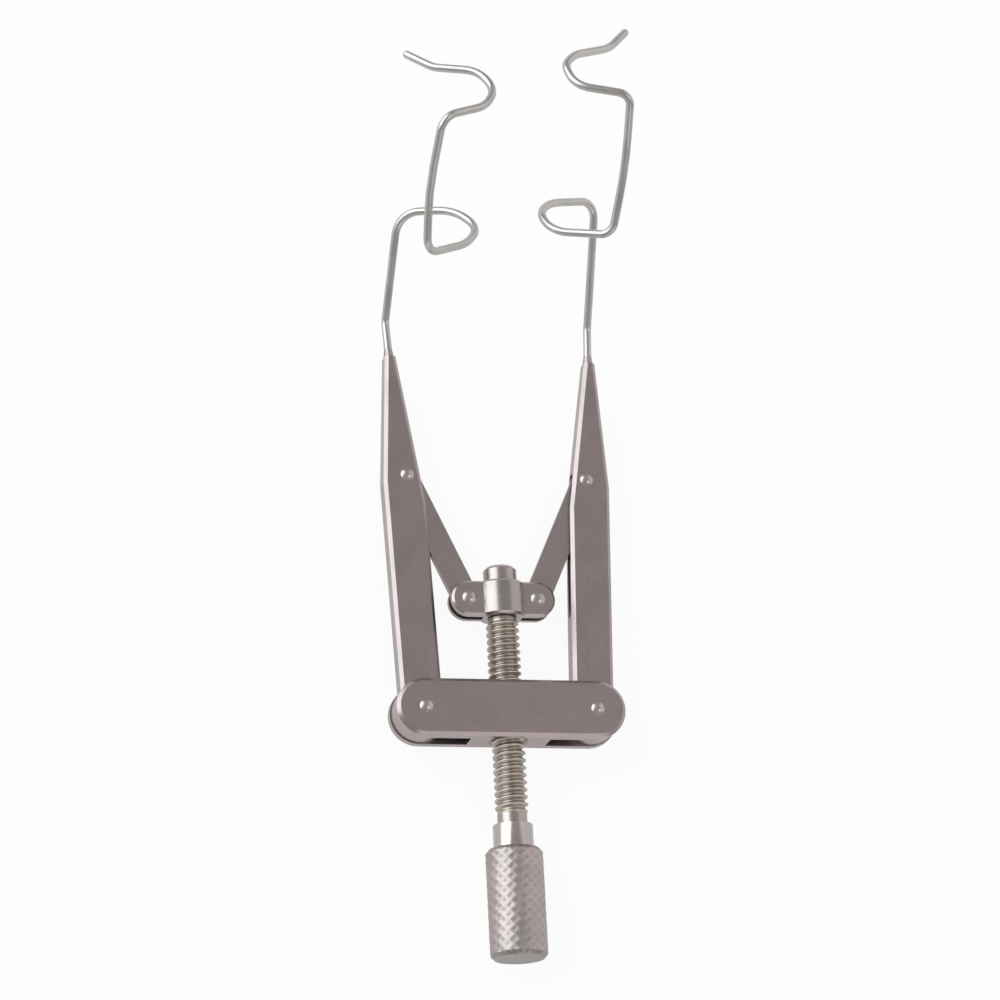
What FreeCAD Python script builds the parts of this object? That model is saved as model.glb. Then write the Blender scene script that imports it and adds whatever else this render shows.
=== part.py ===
import FreeCAD, Part
import math
import os

# Self-retaining eyelid retractor in stainless steel, worked by a screw. Millimetres.
# X runs across the instrument, +X to its right arm. Y runs along the screw, +Y towards the blades.
# Z points to the patient's side. The origin lies on the underside of the yoke, midway between its
# two pivots, and every moving piece is drawn where it stands at rest.

# Yoke: the cross bar that the arms hinge in and that the screw is threaded through
YOKE_PIVOT_SPACING = 14.9
YOKE_DEPTH = 5.0
YOKE_THICKNESS = 4.2
YOKE_CORE_WIDTH = 6.9
YOKE_EDGE = 0.3
YOKE_RIVET_DIAMETER = 1.15

# Arms: flat bars with a round heel in the yoke, tapered from near the link rivet to the tip
ARM_THICKNESS = 1.9
ARM_WIDTH = 3.54
ARM_LENGTH = 31.8
ARM_INNER_TAPER_START = 18.3
ARM_OUTER_TAPER_START = 20.3
ARM_TIP_WIDTH = 0.95
ARM_TIP_THICKNESS = 1.6
ARM_TIP_OFFSET = 0.25
ARM_FRONT_EDGE = 0.3
ARM_BACK_EDGE = 0.2
ARM_TIP_CONE = 0.8
ARM_REST_ANGLE = 2.2
ARM_RIVET_DISTANCE = 20.85
ARM_RIVET_OFFSET = -0.3
ARM_RIVET_DIAMETER = 1.15
ARM_SLOT_FOOT = 8.5
ARM_SLOT_RUNOUT = 1.4
ARM_SLOT_SPREAD = 38.0
SOCKET_DEPTH = 3.0

# Links: flat bars with round ends between the crosshead and the arms
LINK_LENGTH = 12.0
LINK_WIDTH = 2.2
LINK_THICKNESS = 0.65
LINK_PLAY = 0.18

# Crosshead: a hub on the end of the screw with two forked ears
CROSSHEAD_RIVET_SPACING = 6.0
CROSSHEAD_RIVET_DIAMETER = 1.25
CROSSHEAD_HEIGHT = 3.06
CROSSHEAD_EAR_THICKNESS = 0.68
CROSSHEAD_EDGE = 0.18
HUB_DIAMETER = 4.1

# Screw, its end cap and its knob
SCREW_DIAMETER = 2.84
SCREW_LENGTH = 18.05
SCREW_NECK_LENGTH = 0.9
SCREW_NECK_DIAMETER = 2.54
SCREW_TAIL_LENGTH = 7.0
JOURNAL_DIAMETER = 2.0
CAP_DIAMETER = 2.86
CAP_HEIGHT = 1.42
CAP_EDGE = 0.28
CAP_SPIGOT_DIAMETER = 1.5
CAP_SPIGOT_LENGTH = 0.9
COLLAR_DIAMETER = 3.4
COLLAR_LENGTH = 2.12
COLLAR_EDGE = 0.1
KNOB_DIAMETER = 4.9
KNOB_LENGTH = 9.3
KNOB_EDGE = 0.32

# Wire blades, brazed into the arm tips
WIRE_DIAMETER = 0.7
WIRE_THROAT_BEND = 10.0

# Running clearances, each on one side of the moving piece
PIVOT_CLEARANCE = 0.03
FLAT_CLEARANCE = 0.05
THREAD_CLEARANCE = 0.03
HEEL_CLEARANCE = 0.1
SLOT_CLEARANCE = 0.2
RIVET_DOME = 0.2

# Bends of each wire, from the tip of its arm: outward, forward, towards the patient, inside radius.
# The wires are bent by hand over pins, so no two bends are quite alike: the leg with its first bend,
# three bends round the near hook and one out of it, the slightly bowed bar, and the same for the far
# hook, whose end turns outward.
WIRE_BENDS = {
    "right": [
        (0.11, 3.28, 0.1, 1.22),
        (0.01, 13.36, 5.4, 1.32),
        (-4.85, 11.91, 7.9, 4.07),
        (-6.14, 10.34, 9.2, 2.2),
        (-5.45, 8.13, 10.6, 2.85),
        (-0.92, 7.0, 13.2, 0.87),
        (-0.31, 11.86, 16.4, 21.53),
        (-0.81, 16.59, 21.0, 0.73),
        (-5.24, 17.69, 19.8, 0.87),
        (-5.86, 19.93, 18.9, 1.42),
        (-4.69, 21.33, 18.1, 3.04),
        (-1.11, 22.89, 16.4, 3.76),
        (0.77, 25.05, 15.1, 0.0),
    ],
    "left": [
        (0.21, 3.27, 0.1, 1.01),
        (-0.14, 11.45, 5.4, 2.02),
        (-4.49, 10.84, 7.9, 4.13),
        (-6.27, 8.78, 9.2, 1.83),
        (-4.86, 6.66, 10.6, 5.2),
        (-0.66, 4.55, 13.2, 1.04),
        (-0.26, 8.74, 16.4, 27.92),
        (-0.71, 13.72, 21.0, 1.19),
        (-4.69, 15.36, 19.8, 2.73),
        (-5.82, 17.31, 18.9, 1.82),
        (-4.65, 19.34, 18.1, 2.68),
        (-1.18, 20.22, 16.4, 2.05),
        (0.74, 21.87, 15.1, 0.0),
    ],
}

MID = YOKE_THICKNESS / 2
PIVOT_X = YOKE_PIVOT_SPACING / 2
LINK_SLOT = LINK_THICKNESS + 2 * FLAT_CLEARANCE
UP = FreeCAD.Vector(0, 0, 1)
FORWARD = FreeCAD.Vector(0, 1, 0)
SIDES = {"right": 1, "left": -1}


def vec(x, y, z=0.0):
    return FreeCAD.Vector(x, y, z)


def rod(diameter, start, end):
    """A round bar between two points."""
    run = end - start
    return Part.makeCylinder(diameter / 2, run.Length, start, run)


def box(low, high):
    """A box between its lowest and its highest corner."""
    size = high - low
    return Part.makeBox(size.x, size.y, size.z, low)


def turned(profile, axis_x, axis_z):
    """A turned piece about an axis along Y, from a list of (radius, y) points."""
    points = [vec(axis_x + r, y, axis_z) for r, y in profile]
    face = Part.Face(Part.makePolygon(points + points[:1]))
    return face.revolve(vec(axis_x, 0, axis_z), FORWARD, 360)


def obround(half_spacing, radius, low_z, high_z, y=0.0):
    """A flat bar along X with round ends."""
    ends = [vec(s * half_spacing, y + t * radius, low_z) for s, t in ((-1, -1), (1, -1), (1, 1), (-1, 1))]
    right = Part.Arc(ends[1], vec(half_spacing + radius, y, low_z), ends[2])
    left = Part.Arc(ends[3], vec(-half_spacing - radius, y, low_z), ends[0])
    lines = [Part.LineSegment(ends[0], ends[1]), Part.LineSegment(ends[2], ends[3])]
    outline = Part.Wire([lines[0].toShape(), right.toShape(), lines[1].toShape(), left.toShape()])
    return Part.Face(outline).extrude(vec(0, 0, high_z - low_z))


def bevel_flats(shape, size, low_z, high_z):
    """Chamfers the edges round a plate's lower and upper face."""
    rims = []
    for edge in shape.Edges:
        heights = [v.Z for v in edge.Vertexes]
        for level in (low_z, high_z):
            if all(abs(h - level) < 1e-6 for h in heights):
                rims.append(edge)
    return shape.makeChamfer(size, rims)


def rivet(x, y, diameter, low_z, high_z):
    """A riveted pin with a low dome at each end."""
    radius = diameter / 2
    ball = (radius ** 2 + RIVET_DOME ** 2) / (2 * RIVET_DOME)
    half_turn = math.asin(radius / ball) / 2
    side = ball * math.sin(half_turn)
    rise = RIVET_DOME - ball * (1 - math.cos(half_turn))
    top = vec(0, high_z + RIVET_DOME)
    bottom = vec(0, low_z - RIVET_DOME)
    upper = Part.Arc(vec(radius, high_z), vec(side, high_z + rise), top)
    lower = Part.Arc(bottom, vec(side, low_z - rise), vec(radius, low_z))
    wall = Part.LineSegment(vec(radius, low_z), vec(radius, high_z))
    core = Part.LineSegment(top, bottom)
    half = Part.Face(Part.Wire([lower.toShape(), wall.toShape(), upper.toShape(), core.toShape()]))
    pin = half.revolve(vec(0, 0), FORWARD, 360)
    pin.rotate(vec(0, 0), vec(1, 0), 90)
    pin.translate(vec(x, y))
    return pin


def arm_point(across, along):
    """A point of the right arm at rest: across its centre line, outward, and along it from the pivot."""
    turn = math.radians(ARM_REST_ANGLE)
    x = PIVOT_X + across * math.cos(turn) + along * math.sin(turn)
    y = along * math.cos(turn) - across * math.sin(turn)
    return vec(x, y, MID)


def set_on_arm(shape):
    """Moves a shape drawn along Y from the origin to the right arm's place at rest."""
    shape.rotate(vec(0, 0), UP, -ARM_REST_ANGLE)
    shape.translate(vec(PIVOT_X, 0, MID))
    return shape


def on_side(shape, side):
    """The right-hand shape, or its mirror image on the left."""
    return shape if SIDES[side] > 0 else shape.mirror(vec(0, 0), vec(1, 0))


ARM_RIVET = arm_point(ARM_RIVET_OFFSET, ARM_RIVET_DISTANCE)
CROSSHEAD_RIVET_X = CROSSHEAD_RIVET_SPACING / 2
CROSSHEAD_Y = ARM_RIVET.y - math.sqrt(LINK_LENGTH ** 2 - (ARM_RIVET.x - CROSSHEAD_RIVET_X) ** 2)
CROSSHEAD_FOOT = CROSSHEAD_Y - CROSSHEAD_HEIGHT / 2
CROSSHEAD_TOP = CROSSHEAD_Y + CROSSHEAD_HEIGHT / 2
SCREW_SHOULDER = CROSSHEAD_FOOT - FLAT_CLEARANCE
SCREW_FOOT = SCREW_SHOULDER - SCREW_LENGTH
CAP_FOOT = CROSSHEAD_TOP + FLAT_CLEARANCE


def make_yoke():
    """A solid middle with the nut thread, and a fork at each end that an arm turns in."""
    radius = YOKE_DEPTH / 2
    block = bevel_flats(obround(PIVOT_X, radius, 0, YOKE_THICKNESS), YOKE_EDGE, 0, YOKE_THICKNESS)
    half_gap = ARM_THICKNESS / 2 + FLAT_CLEARANCE
    reach = PIVOT_X + YOKE_DEPTH
    for sign in SIDES.values():
        near, far = sorted((sign * YOKE_CORE_WIDTH / 2, sign * reach))
        slot = box(vec(near, -YOKE_DEPTH, MID - half_gap), vec(far, YOKE_DEPTH, MID + half_gap))
        hole = rod(YOKE_RIVET_DIAMETER, vec(sign * PIVOT_X, 0, -MID), vec(sign * PIVOT_X, 0, 3 * MID))
        block = block.cut(slot).cut(hole)
    bore = SCREW_DIAMETER / 2 + THREAD_CLEARANCE
    mouth = bore + YOKE_EDGE
    nut = turned([(0, -radius), (mouth, -radius), (bore, YOKE_EDGE - radius), (bore, radius - YOKE_EDGE),
                  (mouth, radius), (0, radius)], 0, MID)
    return block.cut(nut)


def arm_section(along, inner, outer, thickness):
    """The eight-sided section of an arm at one distance from its pivot."""
    half = thickness / 2
    back = ARM_BACK_EDGE
    front = ARM_FRONT_EDGE
    corners = [(inner + back, -half), (outer - back, -half), (outer, back - half), (outer, half - front),
               (outer - front, half), (inner + front, half), (inner, half - front), (inner, back - half)]
    points = [vec(x, along, z) for x, z in corners]
    return Part.makePolygon(points + points[:1])


def link_slot():
    """The pocket in the arm's inner side for the link's end, with room for the link to swing out."""
    room = LINK_WIDTH / 2 + SLOT_CLEARANCE
    rivet_at = vec(ARM_RIVET_OFFSET, ARM_RIVET_DISTANCE, -LINK_SLOT / 2)
    spread = math.radians(ARM_SLOT_SPREAD)
    top = rivet_at + vec(-math.cos(spread), math.sin(spread)) * room
    lip = top - vec(math.sin(spread), math.cos(spread)) * ARM_WIDTH
    floor = ARM_RIVET_OFFSET + room
    points = [top, lip]
    for x, y in ((lip.x, ARM_SLOT_FOOT), (-ARM_WIDTH / 2, ARM_SLOT_FOOT),
                 (floor, ARM_RIVET_DISTANCE - ARM_SLOT_RUNOUT), (floor, ARM_RIVET_DISTANCE)):
        points.append(vec(x, y, -LINK_SLOT / 2))
    pocket = Part.Face(Part.makePolygon(points + points[:1])).extrude(vec(0, 0, LINK_SLOT))
    return pocket.fuse(Part.makeCylinder(room, LINK_SLOT, rivet_at))


def make_arm():
    """The right arm: heel, bar, tapered blade end, cone and socket for the wire."""
    half = ARM_WIDTH / 2
    tip_inner = ARM_TIP_OFFSET - ARM_TIP_WIDTH / 2
    tip_outer = ARM_TIP_OFFSET + ARM_TIP_WIDTH / 2
    inner_slope = (half + tip_inner) / (ARM_LENGTH - ARM_INNER_TAPER_START)
    shoulder = inner_slope * (ARM_OUTER_TAPER_START - ARM_INNER_TAPER_START) - half
    stations = [(0.0, -half, half, ARM_THICKNESS), (ARM_INNER_TAPER_START, -half, half, ARM_THICKNESS),
                (ARM_OUTER_TAPER_START, shoulder, half, ARM_THICKNESS),
                (ARM_LENGTH, tip_inner, tip_outer, ARM_TIP_THICKNESS)]
    sections = [arm_section(*station) for station in stations]
    lengths = [Part.makeLoft([near, far], True, True) for near, far in zip(sections, sections[1:])]
    heel_radius = YOKE_DEPTH / 2 - HEEL_CLEARANCE
    heel = Part.makeCylinder(heel_radius, ARM_THICKNESS, vec(0, 0, -ARM_THICKNESS / 2))
    root = vec(ARM_TIP_OFFSET, ARM_LENGTH)
    cone = Part.makeCone(ARM_TIP_WIDTH / 2, WIRE_DIAMETER / 2, ARM_TIP_CONE, root, FORWARD)
    arm = heel.fuse(lengths + [cone]).removeSplitter()
    pivot = YOKE_RIVET_DIAMETER + 2 * PIVOT_CLEARANCE
    arm = arm.cut(rod(pivot, vec(0, 0, -ARM_THICKNESS), vec(0, 0, ARM_THICKNESS)))
    arm = arm.cut(link_slot())
    through = vec(ARM_RIVET_OFFSET, ARM_RIVET_DISTANCE, -ARM_THICKNESS)
    arm = arm.cut(rod(ARM_RIVET_DIAMETER, through, through + vec(0, 0, 2 * ARM_THICKNESS)))
    socket = rod(WIRE_DIAMETER, root - vec(0, SOCKET_DEPTH), root + vec(0, 2 * ARM_TIP_CONE))
    return arm.cut(socket)


def make_link():
    """The right link, drawn from its crosshead rivet to its arm rivet."""
    near = vec(CROSSHEAD_RIVET_X, CROSSHEAD_Y, MID)
    far = ARM_RIVET
    link = obround(LINK_LENGTH / 2, LINK_WIDTH / 2, -LINK_THICKNESS / 2, LINK_THICKNESS / 2)
    run = far - near
    link.rotate(vec(0, 0), UP, math.degrees(math.atan2(run.y, run.x)))
    link.translate((near + far) * 0.5)
    tall = vec(0, 0, LINK_THICKNESS)
    near_hole = CROSSHEAD_RIVET_DIAMETER + 2 * PIVOT_CLEARANCE
    far_hole = ARM_RIVET_DIAMETER + 2 * LINK_PLAY
    link = link.cut(rod(near_hole, near - tall, near + tall))
    return link.cut(rod(far_hole, far - tall, far + tall))


def make_crosshead():
    """Two pairs of ears on a hub that turns freely on the end of the screw."""
    half_height = CROSSHEAD_HEIGHT / 2
    half_depth = LINK_SLOT / 2 + CROSSHEAD_EAR_THICKNESS
    low, high = MID - half_depth, MID + half_depth
    ears = obround(CROSSHEAD_RIVET_X, half_height, low, high, CROSSHEAD_Y)
    ears = bevel_flats(ears, CROSSHEAD_EDGE, low, high)
    hub_radius = HUB_DIAMETER / 2
    hub = turned([(0, CROSSHEAD_FOOT), (hub_radius - CROSSHEAD_EDGE, CROSSHEAD_FOOT),
                  (hub_radius, CROSSHEAD_FOOT + CROSSHEAD_EDGE), (hub_radius, CROSSHEAD_TOP - CROSSHEAD_EDGE),
                  (hub_radius - CROSSHEAD_EDGE, CROSSHEAD_TOP), (0, CROSSHEAD_TOP)], 0, MID)
    body = ears.fuse(hub)
    floor = CROSSHEAD_RIVET_X - LINK_WIDTH / 2 - SLOT_CLEARANCE
    reach = CROSSHEAD_RIVET_X + CROSSHEAD_HEIGHT
    before = CROSSHEAD_FOOT - CROSSHEAD_HEIGHT
    beyond = CROSSHEAD_TOP + CROSSHEAD_HEIGHT
    for sign in SIDES.values():
        near, far = sorted((sign * floor, sign * reach))
        gap = box(vec(near, before, MID - LINK_SLOT / 2), vec(far, beyond, MID + LINK_SLOT / 2))
        centre = vec(sign * CROSSHEAD_RIVET_X, CROSSHEAD_Y, MID)
        tall = vec(0, 0, HUB_DIAMETER)
        body = body.cut(gap).cut(rod(CROSSHEAD_RIVET_DIAMETER, centre - tall, centre + tall))
    bore = JOURNAL_DIAMETER + 2 * PIVOT_CLEARANCE
    return body.cut(rod(bore, vec(0, before, MID), vec(0, beyond, MID)))


def make_screw():
    """The screw, with the journal for the crosshead at one end and the tail in the knob at the other."""
    crest = SCREW_DIAMETER / 2
    neck = SCREW_NECK_DIAMETER / 2
    journal = JOURNAL_DIAMETER / 2
    spigot = CAP_SPIGOT_DIAMETER / 2
    return turned([(0, SCREW_FOOT - SCREW_TAIL_LENGTH), (neck, SCREW_FOOT - SCREW_TAIL_LENGTH),
                   (neck, SCREW_FOOT + SCREW_NECK_LENGTH), (crest, SCREW_FOOT + SCREW_NECK_LENGTH),
                   (crest, SCREW_SHOULDER), (journal, SCREW_SHOULDER), (journal, CAP_FOOT),
                   (spigot, CAP_FOOT), (spigot, CAP_FOOT + CAP_SPIGOT_LENGTH),
                   (0, CAP_FOOT + CAP_SPIGOT_LENGTH)], 0, MID)


def make_cap():
    """The button riveted over the screw's end, which holds the crosshead on."""
    radius = CAP_DIAMETER / 2
    spigot = CAP_SPIGOT_DIAMETER / 2
    top = CAP_FOOT + CAP_HEIGHT
    hollow = CAP_FOOT + CAP_SPIGOT_LENGTH
    return turned([(spigot, CAP_FOOT), (radius, CAP_FOOT), (radius, top - CAP_EDGE), (radius - CAP_EDGE, top),
                   (0, top), (0, hollow), (spigot, hollow)], 0, MID)


def make_knob():
    """The finger knob: a smooth collar and a grip, bored for the screw's tail."""
    collar = COLLAR_DIAMETER / 2
    grip = KNOB_DIAMETER / 2
    tail = SCREW_NECK_DIAMETER / 2
    grip_top = SCREW_FOOT - COLLAR_LENGTH
    end = grip_top - KNOB_LENGTH
    return turned([(0, end), (grip - KNOB_EDGE, end), (grip, end + KNOB_EDGE),
                   (grip, grip_top - KNOB_EDGE), (grip - KNOB_EDGE, grip_top), (collar, grip_top),
                   (collar, SCREW_FOOT - COLLAR_EDGE), (collar - COLLAR_EDGE, SCREW_FOOT), (tail, SCREW_FOOT),
                   (tail, SCREW_FOOT - SCREW_TAIL_LENGTH), (0, SCREW_FOOT - SCREW_TAIL_LENGTH)], 0, MID)


def bend(before, corner, after, radius):
    """The arc of a given radius that rounds one corner of a route."""
    back = (before - corner).normalize()
    ahead = (after - corner).normalize()
    half = back.getAngle(ahead) / 2
    reach = radius / math.tan(half)
    middle = (back + ahead).normalize()
    crown = corner + middle * (radius / math.sin(half) - radius)
    return Part.Arc(corner + back * reach, crown, corner + ahead * reach)


def make_blade(side):
    """One wire blade: a leg, a lid hook, a bar and a second lid hook with its end turned outward."""
    root = arm_point(ARM_TIP_OFFSET, ARM_LENGTH)
    lean = arm_point(ARM_TIP_OFFSET, ARM_LENGTH - SOCKET_DEPTH)
    throat = arm_point(ARM_TIP_OFFSET, ARM_LENGTH + ARM_TIP_CONE)
    corners = [root + vec(out, ahead, up) for out, ahead, up, _ in WIRE_BENDS[side]]
    radii = [WIRE_THROAT_BEND] + [inside + WIRE_DIAMETER / 2 for *_, inside in WIRE_BENDS[side]]
    route = [lean, throat] + corners
    edges = []
    here = route[0]
    for i in range(1, len(route) - 1):
        arc = bend(route[i - 1], route[i], route[i + 1], radii[i - 1])
        edges += [Part.makeLine(here, arc.StartPoint), arc.toShape()]
        here = arc.EndPoint
    edges.append(Part.makeLine(here, route[-1]))
    section = Part.Wire(Part.makeCircle(WIRE_DIAMETER / 2, lean, throat - lean))
    wire = Part.Wire(edges).makePipeShell([section], True, False)
    wire = wire.fuse(Part.makeSphere(WIRE_DIAMETER / 2, route[-1]))
    return on_side(wire, side)


def build():
    """Every piece of the instrument by name."""
    pieces = {"yoke": make_yoke(), "crosshead": make_crosshead(), "lead_screw": make_screw()}
    pieces["screw_cap"] = make_cap()
    pieces["knurled_knob"] = make_knob()
    arm = set_on_arm(make_arm())
    ear_depth = LINK_SLOT / 2 + CROSSHEAD_EAR_THICKNESS
    half_arm = ARM_THICKNESS / 2
    rivets = {
        "yoke_rivet": rivet(PIVOT_X, 0, YOKE_RIVET_DIAMETER, 0, YOKE_THICKNESS),
        "arm_rivet": rivet(ARM_RIVET.x, ARM_RIVET.y, ARM_RIVET_DIAMETER, MID - half_arm, MID + half_arm),
        "crosshead_rivet": rivet(CROSSHEAD_RIVET_X, CROSSHEAD_Y, CROSSHEAD_RIVET_DIAMETER, MID - ear_depth,
                                 MID + ear_depth),
    }
    for side in SIDES:
        pieces["arm_" + side] = on_side(arm, side)
        pieces["link_" + side] = on_side(make_link(), side)
        pieces["wire_blade_" + side] = make_blade(side)
        for name, pin in rivets.items():
            pieces[name + "_" + side] = on_side(pin, side)
    return pieces


os.makedirs("parts", exist_ok=True)
for name, piece in build().items():
    piece.exportStep(os.path.join("parts", name + ".step"))
    print(name, "solids", len(piece.Solids), "valid", piece.isValid(), "volume", round(piece.Volume, 3))
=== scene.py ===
import math
import random

import bmesh
import bpy
from mathutils import Matrix, Vector


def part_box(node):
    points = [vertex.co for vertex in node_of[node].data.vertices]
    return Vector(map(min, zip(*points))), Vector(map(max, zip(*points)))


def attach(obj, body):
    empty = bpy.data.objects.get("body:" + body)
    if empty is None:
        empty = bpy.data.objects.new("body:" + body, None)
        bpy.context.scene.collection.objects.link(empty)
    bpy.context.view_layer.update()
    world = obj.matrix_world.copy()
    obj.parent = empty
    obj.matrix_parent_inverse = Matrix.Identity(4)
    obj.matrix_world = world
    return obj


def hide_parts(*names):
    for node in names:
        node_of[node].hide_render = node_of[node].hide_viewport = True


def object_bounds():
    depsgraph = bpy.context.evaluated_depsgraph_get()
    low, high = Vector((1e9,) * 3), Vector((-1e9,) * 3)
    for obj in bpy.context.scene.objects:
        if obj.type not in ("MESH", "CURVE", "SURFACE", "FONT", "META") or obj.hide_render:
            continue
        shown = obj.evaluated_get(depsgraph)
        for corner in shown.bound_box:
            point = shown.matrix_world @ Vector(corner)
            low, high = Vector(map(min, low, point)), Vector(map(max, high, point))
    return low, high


# A self-retaining eyelid retractor in stainless steel: a screw with a knurled knob runs through a
# yoke and opens two hinged arms, whose bent wires hold the lids apart. It lies on a white table with
# its blades up, and is dressed here in the order in which it is put together.
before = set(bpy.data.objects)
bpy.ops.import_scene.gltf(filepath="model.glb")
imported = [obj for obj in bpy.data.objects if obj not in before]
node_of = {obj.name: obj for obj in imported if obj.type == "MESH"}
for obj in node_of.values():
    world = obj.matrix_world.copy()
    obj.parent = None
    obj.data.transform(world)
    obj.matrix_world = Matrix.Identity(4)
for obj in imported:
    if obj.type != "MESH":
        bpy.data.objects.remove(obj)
cad_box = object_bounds()
MM = 0.001


# Camera, table and daylight: a hand-held camera about 350 mm away looks down over the knob from the
# left. The table is plain white laminate. A large window stands low on the left, a white wall and a
# small lamp on the right, and a pale wall low in front of the knob.
LOOK_AT = Vector((0.366, 19.093, 2.1)) * MM
CAMERA_DISTANCE = 352.35 * MM
CAMERA_SWING = math.radians(-14.52)
CAMERA_DROP = math.radians(18.16)
CAMERA_ROLL = math.radians(-2.97)
CAMERA_LENS = 147.09
CAMERA_SENSOR = 36.0
CAMERA_NEAR = 10 * MM
TABLE_HALF_WIDTH = 2.0
TABLE_IN_CAMERA = 0.93
TABLE_IN_STEEL = 0.63
ROOM_IN_CAMERA = 1.0
ROOM_IN_STEEL = 0.1


def shown_colour(hex_code):
    """An sRGB hex colour as linear red, green, blue and alpha."""
    values = [int(hex_code[i:i + 2], 16) / 255 for i in (1, 3, 5)]
    return [v / 12.92 if v <= 0.04045 else ((v + 0.055) / 1.055) ** 2.4 for v in values] + [1.0]


def add_node(tree, kind, settings=None, links=None):
    """Adds a shader node. Settings name its properties or inputs, and links name its inputs' sources."""
    made = tree.nodes.new(kind)
    for key, value in (settings or {}).items():
        if isinstance(key, str) and hasattr(made, key):
            setattr(made, key, value)
        else:
            made.inputs[key].default_value = value
    for key, source in (links or {}).items():
        tree.links.new(source, made.inputs[key])
    return made


def new_material(name):
    """A material with an empty node tree, and that tree."""
    made = bpy.data.materials.new(name)
    made.use_nodes = True
    made.node_tree.nodes.clear()
    return made, made.node_tree


def new_object(name, data):
    made = bpy.data.objects.new(name, data)
    bpy.context.scene.collection.objects.link(made)
    return made


away = Vector((math.sin(CAMERA_SWING) * math.cos(CAMERA_DROP), -math.sin(CAMERA_DROP),
               math.cos(CAMERA_SWING) * math.cos(CAMERA_DROP)))
level_up = (Vector((0, 1, 0)) - away * away.y).normalized()
level_right = level_up.cross(away)
camera_right = level_right * math.cos(CAMERA_ROLL) + level_up * math.sin(CAMERA_ROLL)
camera_up = level_up * math.cos(CAMERA_ROLL) - level_right * math.sin(CAMERA_ROLL)
lens = bpy.data.cameras.new("camera")
lens.lens = CAMERA_LENS
lens.sensor_width = CAMERA_SENSOR
lens.clip_start = CAMERA_NEAR
camera = new_object("camera", lens)
camera.matrix_world = Matrix((camera_right, camera_up, away)).transposed().to_4x4()
camera.location = LOOK_AT + away * CAMERA_DISTANCE
bpy.context.scene.camera = camera
bpy.context.scene.view_settings.view_transform = "Standard"


def white_share(tree, in_camera, in_steel):
    """How much plain white the camera or glass shows of a background, and how much steel mirrors."""
    path = add_node(tree, "ShaderNodeLightPath")
    seen = add_node(tree, "ShaderNodeMath", {"operation": "MAXIMUM"},
                    {0: path.outputs["Is Camera Ray"], 1: path.outputs["Is Transmission Ray"]})
    seen_part = add_node(tree, "ShaderNodeMath", {"operation": "MULTIPLY", 1: in_camera},
                         {0: seen.outputs[0]})
    steel_part = add_node(tree, "ShaderNodeMath", {"operation": "MULTIPLY", 1: in_steel},
                          {0: path.outputs["Is Glossy Ray"]})
    both = add_node(tree, "ShaderNodeMath", {"operation": "MAXIMUM"},
                    {0: seen_part.outputs[0], 1: steel_part.outputs[0]})
    return both.outputs[0]


# White laminate: matt, and plain white to the camera and in the metal, with a little of its own shade
laminate, tree = new_material("white_laminate")
matt = add_node(tree, "ShaderNodeBsdfDiffuse", {"Color": shown_colour("#f4f3f1")})
white = add_node(tree, "ShaderNodeEmission", {"Strength": 1.0})
table_mix = add_node(tree, "ShaderNodeMixShader", {},
                     {0: white_share(tree, TABLE_IN_CAMERA, TABLE_IN_STEEL), 1: matt.outputs[0],
                      2: white.outputs[0]})
add_node(tree, "ShaderNodeOutputMaterial", {}, {"Surface": table_mix.outputs[0]})

surface = bmesh.new()
bmesh.ops.create_grid(surface, x_segments=1, y_segments=1, size=TABLE_HALF_WIDTH)
table_mesh = bpy.data.meshes.new("table")
surface.to_mesh(table_mesh)
surface.free()
table_mesh.materials.append(laminate)
table = new_object("table", table_mesh)
table.location = (0, 0, cad_box[0].z)

# The room: an even warm grey, as dim overhead as a ceiling seen in steel, and white to the camera
room = bpy.data.worlds.new("room")
room.use_nodes = True
bpy.context.scene.world = room
tree = room.node_tree
tree.nodes.clear()
dim_or_white = add_node(tree, "ShaderNodeMix", {"data_type": "RGBA", 6: shown_colour("#b2afaf"),
                                                7: shown_colour("#ffffff")},
                        {0: white_share(tree, ROOM_IN_CAMERA, ROOM_IN_STEEL)})
plain = add_node(tree, "ShaderNodeBackground", {"Strength": 1.0}, {"Color": dim_or_white.outputs[2]})
add_node(tree, "ShaderNodeOutputWorld", {}, {"Surface": plain.outputs[0]})


def add_lamp(name, toward, distance, width, height, power, tint="#ffffff"):
    """A soft rectangular lamp that shines on the instrument from one direction."""
    lamp = bpy.data.lights.new(name, "AREA")
    lamp.color = shown_colour(tint)[:3]
    lamp.shape = "RECTANGLE"
    lamp.size = width
    lamp.size_y = height
    lamp.energy = power
    direction = Vector(toward).normalized()
    made = new_object(name, lamp)
    made.location = LOOK_AT + direction * distance
    made.rotation_euler = direction.to_track_quat("Z", "Y").to_euler()


add_lamp("window", (-0.78, 0.42, 0.46), distance=0.9, width=1.1, height=0.9, power=7.4, tint="#f1feff")
add_lamp("lamp_on_the_right", (0.46, -0.16, 0.87), distance=1.0, width=0.35, height=0.35, power=0.7)
add_lamp("white_wall", (0.8, 0.3, 0.35), distance=1.0, width=1.4, height=1.1, power=2.3)
add_lamp("pale_wall_in_front", (0.24, -0.92, 0.31), distance=1.0, width=0.9, height=0.4, power=0.9)


# Yoke: the cross bar, milled from stainless bar with a fork at each end, ground flat with fine grit
# along its length and bevelled all round. It is left satin, so it doesn't dazzle under a theatre lamp.
SCREW_Z = 2.1 * MM
CLOUD_SIZE = 3.0 * MM
MARK_HEIGHT = 0.02 * MM
ROUGHNESS_SPREAD = 0.15
# How much of the painted shade colour lies at the grooves' root
PAINTED_GROOVE_SHADE = 0.8


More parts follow.
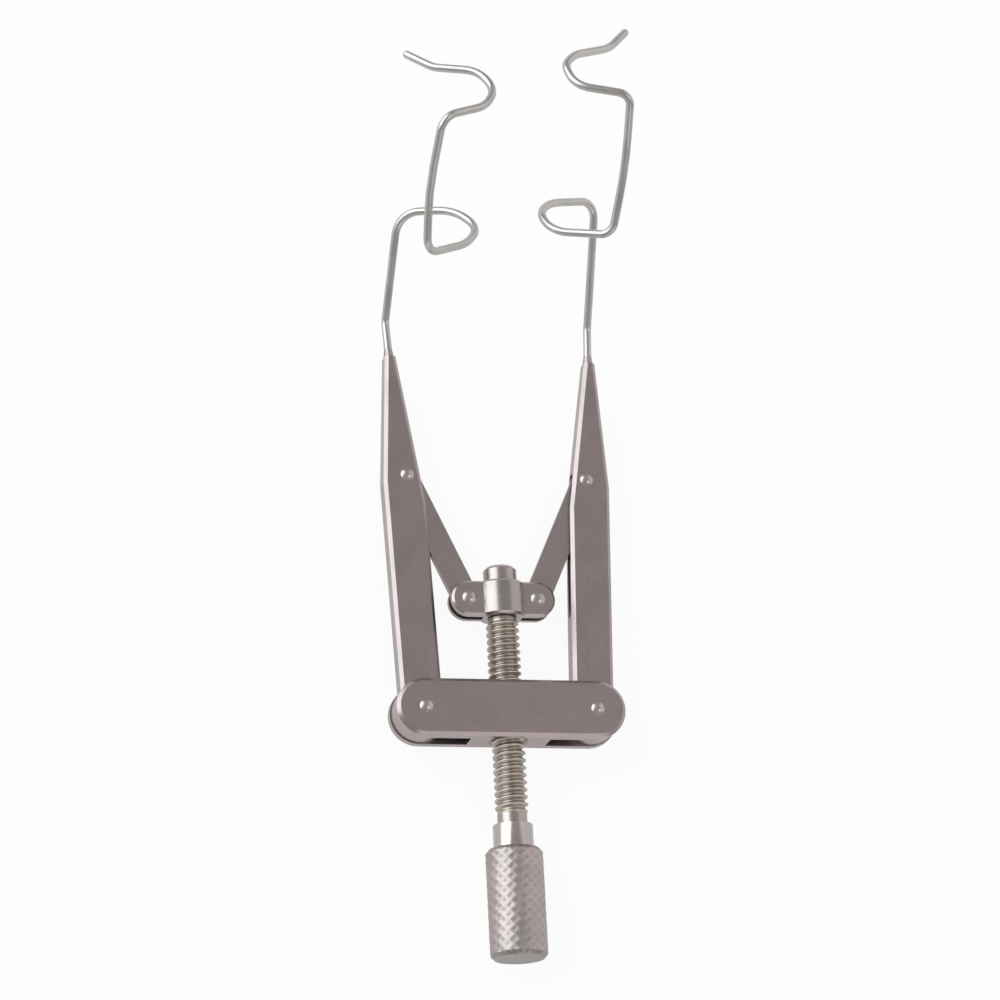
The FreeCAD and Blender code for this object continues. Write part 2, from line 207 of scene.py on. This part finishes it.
def steel(name, colour, roughness, mark, relief, patch="#8f9088", patchy=0.35, grooves=None):
    """Stainless steel with tool marks of a size in mm along X, Y and Z, faint cloudy patches, and painted
    shade darkening grooves round the screw's axis, given as their root's and crest's radii and the
    shade's colour."""
    made, tree = new_material(name)
    place = add_node(tree, "ShaderNodeTexCoord")
    stretch = add_node(tree, "ShaderNodeMapping", {"Scale": [1 / (size * MM) for size in mark]},
                       {"Vector": place.outputs["Object"]})
    marks = add_node(tree, "ShaderNodeTexNoise", {"Scale": 1.0, "Detail": 3.0, "Roughness": 0.6},
                     {"Vector": stretch.outputs[0]})
    clouds = add_node(tree, "ShaderNodeTexNoise", {"Scale": 1 / CLOUD_SIZE, "Detail": 2.0},
                      {"Vector": place.outputs["Object"]})
    cloudy = add_node(tree, "ShaderNodeMapRange", {"From Min": 0.42, "From Max": 0.66, "To Max": patchy},
                      {"Value": clouds.outputs["Fac"]})
    tint = add_node(tree, "ShaderNodeMix", {"data_type": "RGBA", 6: shown_colour(colour),
                                            7: shown_colour(patch)}, {0: cloudy.outputs[0]})
    dull = add_node(tree, "ShaderNodeMapRange",
                    {"From Min": 0.3, "From Max": 0.7, "To Min": roughness * (1 - ROUGHNESS_SPREAD),
                     "To Max": roughness * (1 + ROUGHNESS_SPREAD)}, {"Value": marks.outputs["Fac"]})
    # Painted shade: the colour darkens from the crest to the root of grooves round the screw's axis,
    # standing in for shade in the recess
    if grooves:
        root, crest, painted_shade_colour = grooves
        across = add_node(tree, "ShaderNodeVectorMath", {"operation": "SUBTRACT", 1: (0, 0, SCREW_Z)},
                          {0: place.outputs["Object"]})
        flat = add_node(tree, "ShaderNodeVectorMath", {"operation": "MULTIPLY", 1: (1, 0, 1)},
                        {0: across.outputs[0]})
        radius = add_node(tree, "ShaderNodeVectorMath", {"operation": "LENGTH"}, {0: flat.outputs[0]})
        depth = add_node(tree, "ShaderNodeMapRange",
                         {"From Min": root, "From Max": crest, "To Min": PAINTED_GROOVE_SHADE, "To Max": 0.0},
                         {"Value": radius.outputs["Value"]})
        tint = add_node(tree, "ShaderNodeMix", {"data_type": "RGBA", 7: shown_colour(painted_shade_colour)},
                        {0: depth.outputs[0], 6: tint.outputs[2]})
    bump = add_node(tree, "ShaderNodeBump", {"Strength": relief, "Distance": MARK_HEIGHT},
                    {"Height": marks.outputs["Fac"]})
    shader = add_node(tree, "ShaderNodeBsdfPrincipled", {"Metallic": 1.0},
                      {"Base Color": tint.outputs[2], "Roughness": dull.outputs[0],
                       "Normal": bump.outputs[0]})
    add_node(tree, "ShaderNodeOutputMaterial", {}, {"Surface": shader.outputs[0]})
    return made


def dress(node, material):
    """Gives a CAD node its material."""
    slots = node_of[node].data.materials
    slots.clear()
    slots.append(material)


# Satin ground steel: fine marks along the bar, drawn at 0.11 mm, about twice their real width, to show
across_steel = steel("satin_ground_stainless_steel_across", "#a99b9c", roughness=0.3,
                     mark=(1.8, 0.11, 0.11), relief=0.22)
dress("yoke", across_steel)


# Arms: flat bars of the same stainless steel, ground along their length, with bevelled edges that
# mirror the window. Each has a pocket for its link, and the wire is brazed into its tip.
# The same satin steel with its marks turned along the arm, so its flats look even and silky
along_steel = steel("satin_ground_stainless_steel_along", "#a89a9a", roughness=0.3,
                    mark=(0.11, 1.8, 0.11), relief=0.25)
for side in ("left", "right"):
    dress("arm_" + side, along_steel)


# Links: strips cut from rolled stainless sheet, 0.65 mm thick, with a rivet hole at each round end.
# They swing out of the arms' pockets as the crosshead moves.
# Rolled steel: a shade duller and more even than the ground bars, with faint long streaks
rolled_steel = steel("rolled_stainless_steel", "#a29796", roughness=0.34, mark=(0.2, 0.9, 0.2),
                     relief=0.15, patchy=0.2)
for side in ("left", "right"):
    dress("link_" + side, rolled_steel)


# Crosshead: turned and milled in stainless steel, with the tool's fine rings left on its round hub.
# It rides on the screw's end and pushes both links.
# Turned steel: rings 0.12 mm apart that break a reflection's edge a little, as a lathe tool leaves it
turned = steel("turned_stainless_steel", "#ada2a0", roughness=0.27, mark=(2.5, 0.12, 2.5), relief=0.04)
dress("crosshead", turned)


# Rivets: stainless pins with their ends hammered to low domes and polished, so each one mirrors the
# window at one side and the lamp at the other.
RIVET_RISE = 0.2 * MM
RIVET_SEGMENTS = 40
DOME_RINGS = 7


def turned_mesh(profile, centre, axis, segments):
    """A turned form about an axis, from (radius, distance along the axis) points."""
    mesh = bmesh.new()
    side = axis.orthogonal().normalized()
    other = axis.cross(side)
    rings = []
    for radius, along in profile:
        middle = centre + axis * along
        turns = [2 * math.pi * i / segments for i in range(segments if radius else 1)]
        rings.append([mesh.verts.new(middle + (side * math.cos(t) + other * math.sin(t)) * radius)
                      for t in turns])
    for lower, upper in zip(rings, rings[1:]):
        for i in range(segments):
            corners = [lower[i % len(lower)], lower[(i + 1) % segments % len(lower)],
                       upper[(i + 1) % segments % len(upper)], upper[i % len(upper)]]
            mesh.faces.new(dict.fromkeys(corners))
    return mesh


def finish_mesh(mesh, name, material, sharp):
    """Turns an edited mesh into an object, smooth but for edges sharper than an angle in degrees."""
    bmesh.ops.recalc_face_normals(mesh, faces=mesh.faces)
    for face in mesh.faces:
        face.smooth = True
    for edge in mesh.edges:
        if len(edge.link_faces) == 2 and edge.calc_face_angle() > math.radians(sharp):
            edge.smooth = False
    data = bpy.data.meshes.new(name)
    mesh.to_mesh(data)
    mesh.free()
    data.materials.append(material)
    return new_object(name, data)


def place_piece(piece, body, node=None):
    """Lets a piece move with a body, and stand in for a CAD node."""
    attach(piece, body)
    if node:
        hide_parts(node)


# Polished steel: two clear small highlights on each dome, with hardly a mark
polished_head = steel("polished_stainless_steel", "#b4acaa", roughness=0.28, mark=(0.15, 0.15, 0.15),
                      relief=0.12, patchy=0.25)
for joint, bodies in (("yoke_rivet", ("yoke", "yoke")), ("arm_rivet", ("arm_left", "arm_right")),
                      ("crosshead_rivet", ("crosshead", "crosshead"))):
    for side, body in zip(("left", "right"), bodies):
        node = joint + "_" + side
        low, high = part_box(node)
        radius = (high.x - low.x) / 2
        ball = (radius ** 2 + RIVET_RISE ** 2) / (2 * RIVET_RISE)
        half_height = (high.z - low.z) / 2
        turns = [math.asin(radius / ball) * (1 - step / DOME_RINGS) for step in range(DOME_RINGS + 1)]
        dome = [(ball * math.sin(turn), half_height + ball * (math.cos(turn) - 1)) for turn in turns]
        profile = [(r, -z) for r, z in reversed(dome)] + dome
        mesh = turned_mesh(profile, (low + high) / 2, Vector((0, 0, 1)), RIVET_SEGMENTS)
        head = finish_mesh(mesh, "polished_" + node, polished_head, sharp=50)
        place_piece(head, body, node)


# Screw: a No. 4 thread with 40 turns to the inch, cut in stainless steel with a die. Its flanks mirror
# each other and look dark, with a line of light on each rounded crest.
THREAD_PITCH = 0.635 * MM
THREAD_PHASE = -0.335 * MM
THREAD_CREST = 1.42 * MM
THREAD_ROOT = 1.13 * MM
THREAD_SEGMENTS = 72
THREAD_RUNOUT = 0.5 * MM
THREAD_FOOT_GAP = 0.9 * MM
SHOULDER_RADIUS = 1.24 * MM
SHOULDER_LENGTH = 0.55 * MM
CROSSHEAD_PLAY = 0.05 * MM
NECK_RADIUS = 1.265 * MM
NECK_SEGMENTS = 48
NECK_OVERLAP = 0.02 * MM
WELD = 1e-7
# The thread's form, as shares of the pitch and of its height, with a rounded crest and root
THREAD_PROFILE = [(0.0, 1.0), (0.07, 0.97), (0.13, 0.85), (0.24, 0.46), (0.35, 0.1), (0.43, 0.01),
                  (0.57, 0.01), (0.65, 0.1), (0.76, 0.46), (0.87, 0.85), (0.93, 0.97)]
screw_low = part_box("lead_screw")[0]
knob_low, knob_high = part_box("knurled_knob")
thread_foot = knob_high.y + THREAD_FOOT_GAP
thread_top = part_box("crosshead")[0].y - CROSSHEAD_PLAY
# Die-cut steel: torn a little by the die, rougher than turned steel, with painted shade darkening it to
# brown-grey deep in the thread
cut_steel = steel("die_cut_stainless_steel", "#c8bfb6", roughness=0.36, mark=(0.3, 0.3, 0.3),
                  relief=0.15, grooves=(THREAD_ROOT, THREAD_CREST, "#9a9186"))

# The form is wound round the screw, and runs out into the neck below and a shoulder at the crosshead
mesh = bmesh.new()
steps = len(THREAD_PROFILE)
first_turn = math.floor((thread_foot - THREAD_PHASE) / THREAD_PITCH) - 2
last_turn = math.ceil((thread_top - THREAD_PHASE) / THREAD_PITCH) + 1
rows = []
for turn in range(first_turn, last_turn + 1):
    for share, height in THREAD_PROFILE:
        row = []
        for i in range(THREAD_SEGMENTS):
            angle = 2 * math.pi * i / THREAD_SEGMENTS
            y = THREAD_PHASE + THREAD_PITCH * (turn + share + i / THREAD_SEGMENTS)
            radius = THREAD_ROOT + (THREAD_CREST - THREAD_ROOT) * height
            fade = min(1.0, max(0.0, (y - thread_foot) / THREAD_RUNOUT))
            radius = NECK_RADIUS + (radius - NECK_RADIUS) * fade
            fade = min(1.0, max(0.0, (thread_top - y) / THREAD_RUNOUT))
            radius = THREAD_ROOT + (radius - THREAD_ROOT) * fade
            if thread_top - y < SHOULDER_LENGTH:
                radius = max(radius, SHOULDER_RADIUS)
            y = min(max(y, thread_foot), thread_top)
            row.append(mesh.verts.new((radius * math.cos(angle), y, SCREW_Z - radius * math.sin(angle))))
        rows.append(row)
for k in range(len(rows) - 1):
    for i in range(THREAD_SEGMENTS - 1):
        mesh.faces.new((rows[k][i], rows[k][i + 1], rows[k + 1][i + 1], rows[k + 1][i]))
    if k + 1 + steps < len(rows):
        mesh.faces.new((rows[k][-1], rows[k + steps][0], rows[k + 1 + steps][0], rows[k + 1][-1]))
bmesh.ops.remove_doubles(mesh, verts=mesh.verts, dist=WELD)
bmesh.ops.dissolve_degenerate(mesh, edges=mesh.edges, dist=WELD)
thread = finish_mesh(mesh, "threaded_screw", cut_steel, sharp=60)
place_piece(thread, "screw", "lead_screw")

neck_top = thread_foot + NECK_OVERLAP
neck_profile = [(0.0, screw_low.y), (NECK_RADIUS, screw_low.y), (NECK_RADIUS, neck_top), (0.0, neck_top)]
mesh = turned_mesh(neck_profile, Vector((0, 0, SCREW_Z)), Vector((0, 1, 0)), NECK_SEGMENTS)
place_piece(finish_mesh(mesh, "screw_neck", turned, sharp=30), "screw")


# Screw cap: a stainless button, pressed and riveted over the screw's end. It is turned like the
# crosshead's hub, with a broad bevel round its end, given below in mm inward and down.
CAP_BEVEL = [(0.0, 0.32), (0.03, 0.27), (0.27, 0.03), (0.33, 0.0)]
CAP_FOOT_EDGE = 0.06 * MM
ROUND_SEGMENTS = 72
low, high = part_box("screw_cap")
cap_radius = (high.x - low.x) / 2
cap_profile = [(0.0, low.y), (cap_radius - CAP_FOOT_EDGE, low.y), (cap_radius, low.y + CAP_FOOT_EDGE)]
cap_profile += [(cap_radius - inset * MM, high.y - drop * MM) for inset, drop in CAP_BEVEL]
cap_profile.append((0.0, high.y))
mesh = turned_mesh(cap_profile, Vector((0, 0, SCREW_Z)), Vector((0, 1, 0)), ROUND_SEGMENTS)
place_piece(finish_mesh(mesh, "turned_cap", turned, sharp=30), "screw", "screw_cap")


# Knob: turned in stainless steel, with a smooth collar and a grip rolled with a shallow diamond knurl,
# 14 diamonds round and a little askew, that fingers polish. Both ends of the grip are faced on the
# lathe, finer than the knurl, and painted darker as painted shade.
KNOB_GRIP_LENGTH = 9.3 * MM
KNOB_EDGE = 0.32 * MM
KNURL_COLUMNS = 28
KNURL_ROW = 0.4115 * MM
KNURL_SKEW = 0.0195
KNURL_DEPTH = 0.09 * MM
KNURL_LINE = 0.78
KNURL_LINE_DROP = 0.02 * MM
KNURL_PIT = 0.26
KNURL_WEAR = 0.015
KNURL_LINE_WANDER = 0.05
KNURL_SHALLOWEST = 0.85
COLLAR_RADIUS = 1.7 * MM
COLLAR_EDGE = 0.1 * MM
COLLAR_EDGE_MIDDLE = 0.03 * MM
COLLAR_ROOT = 0.3 * MM
FACED_SLOT = 1
WEAR_SEED = 7
knob_radius = (knob_high.x - knob_low.x) / 2
grip_top = knob_low.y + KNOB_GRIP_LENGTH
# Knurled steel: pressed, not cut, so it is dull all over, and its pits are painted darker as painted
# shade
knurled = steel("knurled_stainless_steel", "#b6a8a6", roughness=0.43, mark=(0.12, 0.12, 0.12),
                relief=0.2,
                grooves=(knob_radius - KNURL_DEPTH, knob_radius - KNURL_LINE_DROP, "#9f9794"))
# Faced steel: even, with no clear reflection, and a darker grey than the knurl as painted shade on the
# grip's ends
faced_painted_shade = steel("faced_stainless_steel_painted_shade", "#9b9492", roughness=0.4, mark=(0.12, 2.0, 0.12), relief=0.05,
              patchy=0.25)
worn = random.Random(WEAR_SEED)


def on_grip(mesh, column, row, depth):
    """A vertex on the grip, at a place in the knurl's grid and a depth under its crest."""
    turn = 2 * math.pi * column / KNURL_COLUMNS + KNURL_SKEW * row
    radius = knob_radius - depth
    return mesh.verts.new((radius * math.sin(turn), knob_low.y + KNURL_ROW * row,
                           SCREW_Z + radius * math.cos(turn)))


# Lines cross at every second place of the grid, and between them lie the pits. The knurl starts and
# ends beyond the grip, and the bevels at both ends cut it off.
mesh = bmesh.new()
knurl_rows = math.ceil(KNOB_GRIP_LENGTH / KNURL_ROW) + 2
crossings = {}
for row in range(-2, knurl_rows + 1):
    for column in range(KNURL_COLUMNS):
        if (row + column) % 2 == 0:
            crossings[(column, row)] = on_grip(mesh, column, row, worn.uniform(0.0, KNURL_WEAR) * MM)
for row in range(-1, knurl_rows):
    for column in range(KNURL_COLUMNS):
        if (row + column) % 2 == 0:
            continue
        sides = ((-1, 0), (0, 1), (1, 0), (0, -1))
        outer = [crossings[((column + a) % KNURL_COLUMNS, row + b)] for a, b in sides]
        line = KNURL_LINE + worn.uniform(-KNURL_LINE_WANDER, KNURL_LINE_WANDER)
        rim = [on_grip(mesh, column + a * line, row + b * line, KNURL_LINE_DROP) for a, b in sides]
        pit_depth = KNURL_DEPTH * worn.uniform(KNURL_SHALLOWEST, 1.0)
        pit = [on_grip(mesh, column + a * KNURL_PIT, row + b * KNURL_PIT, pit_depth) for a, b in sides]
        for ring, inner in ((outer, rim), (rim, pit)):
            for i in range(4):
                mesh.faces.new((ring[i], ring[(i + 1) % 4], inner[(i + 1) % 4], inner[i]))
        mesh.faces.new(pit)
rim_radius = knob_radius - KNOB_EDGE
for cut, outward, rim_y in ((knob_low.y + KNOB_EDGE, -1, knob_low.y),
                            (grip_top - KNOB_EDGE, 1, grip_top)):
    everything = mesh.verts[:] + mesh.edges[:] + mesh.faces[:]
    bmesh.ops.bisect_plane(mesh, geom=everything, dist=WELD, plane_co=(0, cut, 0),
                           plane_no=(0, outward, 0), clear_outer=True)
    rim_edges = [e for e in mesh.edges if len(e.link_faces) == 1
                 and all(abs(v.co.y - cut) < 10 * WELD for v in e.verts)]
    made = bmesh.ops.extrude_edge_only(mesh, edges=rim_edges)["geom"]
    end_ring = [v for v in made if isinstance(v, bmesh.types.BMVert)]
    for v in end_ring:
        shrink = rim_radius / math.hypot(v.co.x, v.co.z - SCREW_Z)
        v.co = (v.co.x * shrink, rim_y, SCREW_Z + (v.co.z - SCREW_Z) * shrink)
    end_ring.sort(key=lambda v: math.atan2(v.co.x, v.co.z - SCREW_Z))
    mesh.faces.new(end_ring)
    for vertex in end_ring:
        for face in vertex.link_faces:
            face.material_index = FACED_SLOT
grip = finish_mesh(mesh, "knurled_grip", knurled, sharp=40)
grip.data.materials.append(faced_painted_shade)
place_piece(grip, "screw", "knurled_knob")

# Fine turned steel: almost a mirror, so the collar shows the window as one hard white band
fine_turned = steel("fine_turned_stainless_steel", "#bab1ae", roughness=0.2, mark=(2.0, 0.12, 2.0),
                    relief=0.05, patchy=0.25)
collar_profile = [(0.0, grip_top - COLLAR_ROOT), (COLLAR_RADIUS, grip_top - COLLAR_ROOT),
                  (COLLAR_RADIUS, knob_high.y - COLLAR_EDGE),
                  (COLLAR_RADIUS - COLLAR_EDGE_MIDDLE, knob_high.y - COLLAR_EDGE_MIDDLE),
                  (COLLAR_RADIUS - COLLAR_EDGE, knob_high.y), (0.0, knob_high.y)]
mesh = turned_mesh(collar_profile, Vector((0, 0, SCREW_Z)), Vector((0, 1, 0)), ROUND_SEGMENTS)
place_piece(finish_mesh(mesh, "knob_collar", fine_turned, sharp=30), "screw")


# Wire blades: hard-drawn stainless wire of 0.7 mm, bent by hand over pins, brazed into the arms' tips
# and polished, so no edge scratches the eye. Smooth and round, it mirrors the room as long thin lines.
WIRE_RADIUS = 0.349 * MM
WIRE_SIDES = 28
WIRE_END_RINGS = 9
BEND_TO_MIDDLE = 0.35
BEND_STEP = math.radians(7)
# In mm: the wire's end in the arm and its first, slight bend, and the arm's tip
WIRE_ROUTE_START = [(8.805, 28.769, 2.1), (8.951, 32.566, 2.1)]
THROAT_BEND = 10.0
ARM_TIP = (8.921, 31.765, 2.1)
# Each bend from there in mm: the corner that it rounds, from the arm's tip, and its inside radius
WIRE_BENDS = {
    "right": [(0.11, 3.28, 0.1, 1.22), (0.01, 13.36, 5.4, 1.32), (-4.85, 11.91, 7.9, 4.07),
              (-6.14, 10.34, 9.2, 2.2), (-5.45, 8.13, 10.6, 2.85), (-0.92, 7.0, 13.2, 0.87),
              (-0.31, 11.86, 16.4, 21.53), (-0.81, 16.59, 21.0, 0.73), (-5.24, 17.69, 19.8, 1.9),
              (-5.86, 19.93, 18.9, 1.42), (-4.69, 21.33, 18.1, 3.04), (-1.11, 22.89, 16.4, 3.76),
              (0.77, 25.05, 15.1, 0.0)],
    "left": [(0.21, 3.27, 0.1, 1.01), (-0.14, 11.45, 5.4, 2.02), (-4.49, 10.84, 7.9, 4.13),
             (-6.27, 8.78, 9.2, 1.83), (-4.86, 6.66, 10.6, 5.2), (-0.66, 4.55, 13.2, 1.04),
             (-0.26, 8.74, 16.4, 27.92), (-0.71, 13.72, 21.0, 1.19), (-4.69, 15.36, 19.8, 2.73),
             (-5.82, 17.31, 18.9, 1.82), (-4.65, 19.34, 18.1, 2.68), (-1.18, 20.22, 16.4, 2.05),
             (0.74, 21.87, 15.1, 0.0)],
}
# Polished wire: thin bright lines along it, broken a little by the drawing die's faint marks
drawn_wire = steel("polished_stainless_wire", "#bcb9b7", roughness=0.28, mark=(0.25, 0.25, 0.25),
                   relief=0.1, patchy=0.3)


def bent_line(side, mirror):
    """The middle line of one wire, in straight runs and round bends."""
    route = [Vector(p) for p in WIRE_ROUTE_START]
    route += [Vector(ARM_TIP) + Vector(bend[:3]) for bend in WIRE_BENDS[side]]
    radii = [THROAT_BEND] + [bend[3] + BEND_TO_MIDDLE for bend in WIRE_BENDS[side]]
    line = [route[0]]
    for before, corner, after, radius in zip(route, route[1:], route[2:], radii):
        back = (before - corner).normalized()
        ahead = (after - corner).normalized()
        half = back.angle(ahead) / 2
        middle = corner + (back + ahead).normalized() * (radius / math.sin(half))
        start = corner + back * (radius / math.tan(half)) - middle
        end = corner + ahead * (radius / math.tan(half)) - middle
        pieces = max(2, math.ceil(start.angle(end) / BEND_STEP))
        spokes = [start.slerp(end, k / pieces) for k in range(pieces + 1)]
        line += [middle + spoke * radius / spoke.length for spoke in spokes]
    line.append(route[-1])
    return [Vector((p.x * mirror, p.y, p.z)) * MM for p in line]


for side, mirror in (("left", -1), ("right", 1)):
    line = bent_line(side, mirror)
    mesh = bmesh.new()
    ahead = (line[1] - line[0]).normalized()
    upward = ahead.orthogonal().normalized()
    stations = [(line[0], ahead, WIRE_RADIUS)]
    for k in range(1, len(line) - 1):
        stations.append((line[k], (line[k + 1] - line[k - 1]).normalized(), WIRE_RADIUS))
    ahead = (line[-1] - line[-2]).normalized()
    for k in range(WIRE_END_RINGS):
        turn = math.pi / 2 * k / WIRE_END_RINGS
        centre = line[-1] + ahead * WIRE_RADIUS * math.sin(turn)
        stations.append((centre, ahead, WIRE_RADIUS * math.cos(turn)))
    rings = []
    for centre, ahead, radius in stations:
        upward = (upward - ahead * upward.dot(ahead)).normalized()
        sideways = ahead.cross(upward)
        turns = [2 * math.pi * i / WIRE_SIDES for i in range(WIRE_SIDES)]
        rings.append([mesh.verts.new(centre + (upward * math.cos(t) + sideways * math.sin(t)) * radius)
                      for t in turns])
    for lower, upper in zip(rings, rings[1:]):
        for i in range(WIRE_SIDES):
            mesh.faces.new((lower[i], lower[(i + 1) % WIRE_SIDES], upper[(i + 1) % WIRE_SIDES], upper[i]))
    mesh.faces.new(rings[0])
    mesh.faces.new(rings[-1])
    wire = finish_mesh(mesh, "polished_wire_" + side, drawn_wire, sharp=60)
    place_piece(wire, "arm_" + side, "wire_blade_" + side)
